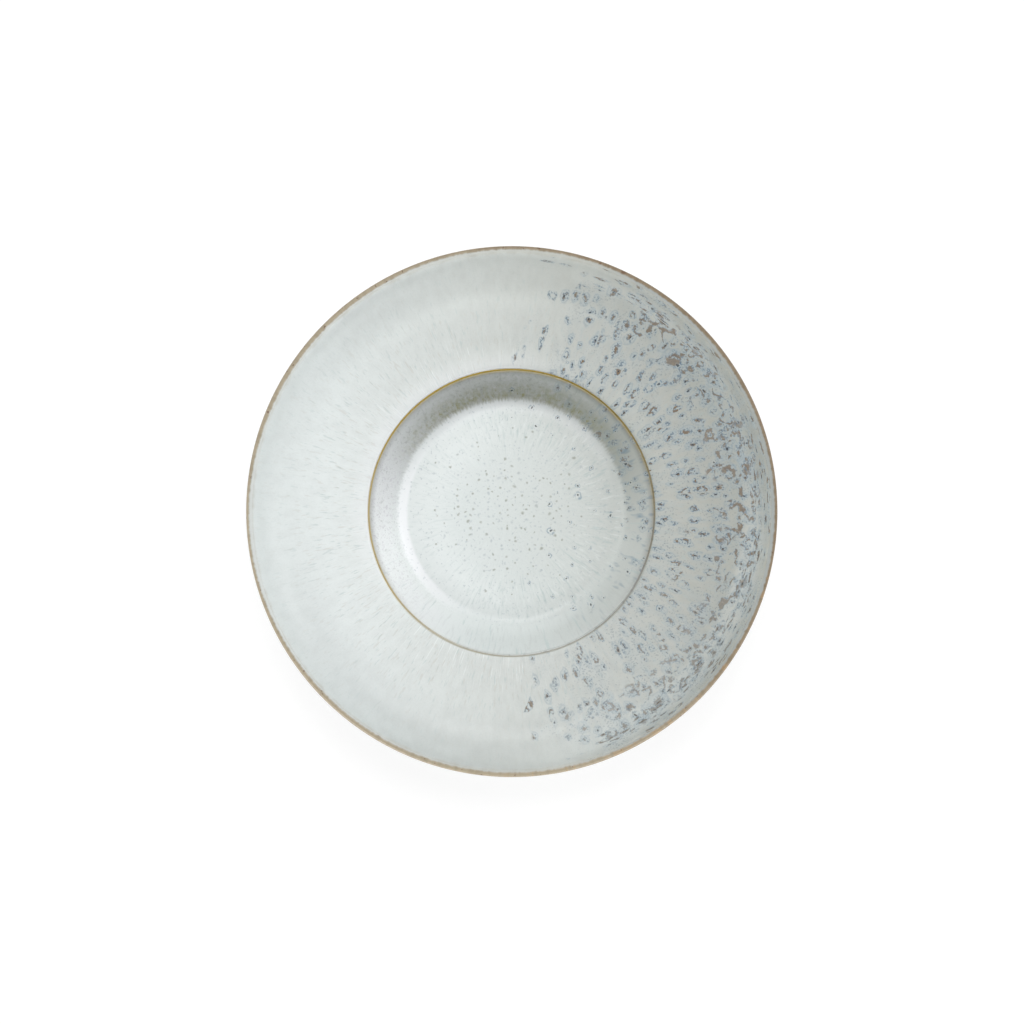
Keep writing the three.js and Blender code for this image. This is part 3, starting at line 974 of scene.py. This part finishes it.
film, tree, shader, at, kiln = start("lip film")
around = noise(tree, stretch(tree, at["Flow"], (7, 7, 0)), 1.0, 3.0)
beads = noise(tree, stretch(tree, at["Flow"], (60, 60, 0.4)), 1.0, 2.0)
pale = rise(tree, sway(tree, around, 0.5, facing(tree, at, 28)), 0.97, -0.2)
skin = blend(tree, pale, TAN, PALE_TAN)
skin = deepen(tree, rise(tree, beads, 0.45, 0.7, 0.0, 0.12), skin)
specks = noise(tree, at["Millimetres"], 0.9, 1.0)
skin = blend(tree, rise(tree, specks, 0.68, 0.72, 0.0, 0.75), skin, RUST)
drips = rise(tree, noise(tree, stretch(tree, at["Flow"], (28, 28, 0)), 1.0, 2.0), 0.52, 0.62)
skin = blend(tree, times(tree, drips, on_side(tree, at, 312, 0.6, 0.9), 0.35), skin, GOLD)
wide = on_side(tree, at, 268, 0.2, 0.75)
wide = calc(tree, "MAXIMUM", wide, on_side(tree, at, 110, 0.2, 0.9, 0.0, 0.4))
wide = calc(tree, "MAXIMUM", wide, on_side(tree, at, 138, 0.75, 1.0))
wide = calc(tree, "MAXIMUM", wide, on_side(tree, at, 45, 0.8, 1.0, 0.0, 0.6))
reach = calc(tree, "MULTIPLY_ADD", wide, 0.4, at["Radius"])
crest = rise(tree, sway(tree, beads, 0.25, reach), LIP_RADIUS - 0.95, LIP_RADIUS - 0.5)
inside = blend(tree, times(tree, crowding(tree, at), 0.5), rim_ground(tree, at, kiln), SLATE_WASH)
skin = blend(tree, crest, blend(tree, 0.15, inside, BEIGE), skin)
gloss = rise(tree, beads, 0.3, 0.7, 0.42, 0.6)
complete(film, tree, shader, skin, gloss, kiln["Peel"], FILM_RELIEF, "lip_film")

# %% [markdown]
# Nobody sees the underside in use, so it carries one plain dip of the pale glaze with no drops in it. It
# still shows how it was made: threads of glaze that ran down to the foot, soft clouds, a beige tinge
# where the coat thins at its ends, and pinholes where gas came out of the clay.

# %% Plain glaze under the rim and inside the foot
STONE = colour("#d5dad7")
DIP_RELIEF = 0.00005  # metres

# Runs in mm: where the dip ends outside the foot ring, and inside it
HEEL = 29.5
RECESS = 24.5

plain, tree, shader, at, kiln = start("plain glaze")
sloping = rise(tree, at["Radius"], RECESS - 6.5, RECESS + 1.5)
skin = blend(tree, rise(tree, noise(tree, at["Millimetres"], 0.15, 3.0), 0.35, 0.65, 0.1, 0.5), COOL, STONE)
skin = blend(tree, times(tree, sloping, rise(tree, kiln["Clouds"], 0.3, 0.7, 0.0, 0.5)), skin, STONE)
skin = mottle(tree, kiln, skin, 0.05, times(tree, sloping, 0.05))
skin = add_strokes(tree, at, skin, TEAL, times(tree, sloping, 0.35), fineness=90, length=7.0)
skin = add_strokes(tree, at, skin, TAUPE, times(tree, sloping, 0.4), fineness=60, length=5.0, shift=5.0)
by_lip = rise(tree, at["Run"], LIP - 2.5, LIP - 0.5)
ends = calc(tree, "MAXIMUM", rise(tree, at["Run"], HEEL + 2, HEEL), by_lip)
in_recess = rise(tree, at["Run"], RECESS + 2.5, RECESS + 1.5)
recess_end = times(tree, rise(tree, at["Run"], RECESS - 2, RECESS), in_recess)
thin_glaze_and_edge_shade = calc(tree, "MAXIMUM", times(tree, ends, calc(tree, "SUBTRACT", 1.0, in_recess)), recess_end)
skin = blend(tree, times(tree, sway(tree, kiln["Clouds"], 0.4, thin_glaze_and_edge_shade), thin_glaze_and_edge_shade), skin, BEIGE)
middle, dice = scatter(tree, at["Millimetres"], 0.22, "3D")
hole = times(tree, rise(tree, middle, 0.075, 0.045), rise(tree, dice[0], 0.5, 0.45))
skin = blend(tree, times(tree, hole, 0.7), skin, TAN)
pitted = calc(tree, "MULTIPLY_ADD", hole, -1.5, kiln["Peel"])
gloss = rise(tree, kiln["Peel"], 0.3, 0.7, 0.38, 0.52)
complete(plain, tree, shader, skin, gloss, pitted, DIP_RELIEF, "underside_coat", "recess_coat")

# %% [markdown]
# The clay is bare only on the foot ring, which was wiped clean so that it wouldn't stick to the kiln
# shelf. It is a buff stoneware: dry, sandy, flecked with iron, and with the fine rings that the turning
# tool left.

# %% Bare clay
BUFF = colour("#b59a78")
SAND = colour("#c9b396")
IRON = colour("#5b3d28")
CLAY_RELIEF = 0.00012  # metres

clay, tree, shader, at, kiln = start("bare clay")
sand = noise(tree, at["Millimetres"], 2.2, 3.0, 0.7)
skin = blend(tree, rise(tree, sand, 0.35, 0.65), BUFF, SAND)
skin = deepen(tree, rise(tree, noise(tree, at["Millimetres"], 0.25, 3.0), 0.4, 0.7, 0.0, 0.15), skin)
middle, dice = scatter(tree, at["Millimetres"], 0.9, "3D")
fleck = times(tree, rise(tree, middle, 0.2, 0.12), rise(tree, dice[0], 0.35, 0.3))
skin = blend(tree, times(tree, fleck, 0.75), skin, IRON)
rings = noise(tree, join(tree, at["Radius"]), 3.0, 2.0)
skin = deepen(tree, rise(tree, rings, 0.45, 0.7, 0.0, 0.12), skin)
height = calc(tree, "ADD", sand, times(tree, rings, 0.8))
gloss = rise(tree, sand, 0.3, 0.7, 0.75, 0.92)
complete(clay, tree, shader, skin, gloss, height, CLAY_RELIEF, "clay_body")

# %% [markdown]
# Last, each piece takes the place of its CAD solid and rides on the part's one body.

# %% Put the pieces in place
for name, piece in pieces.items():
    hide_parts(NODES[name])
    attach(piece, "root")
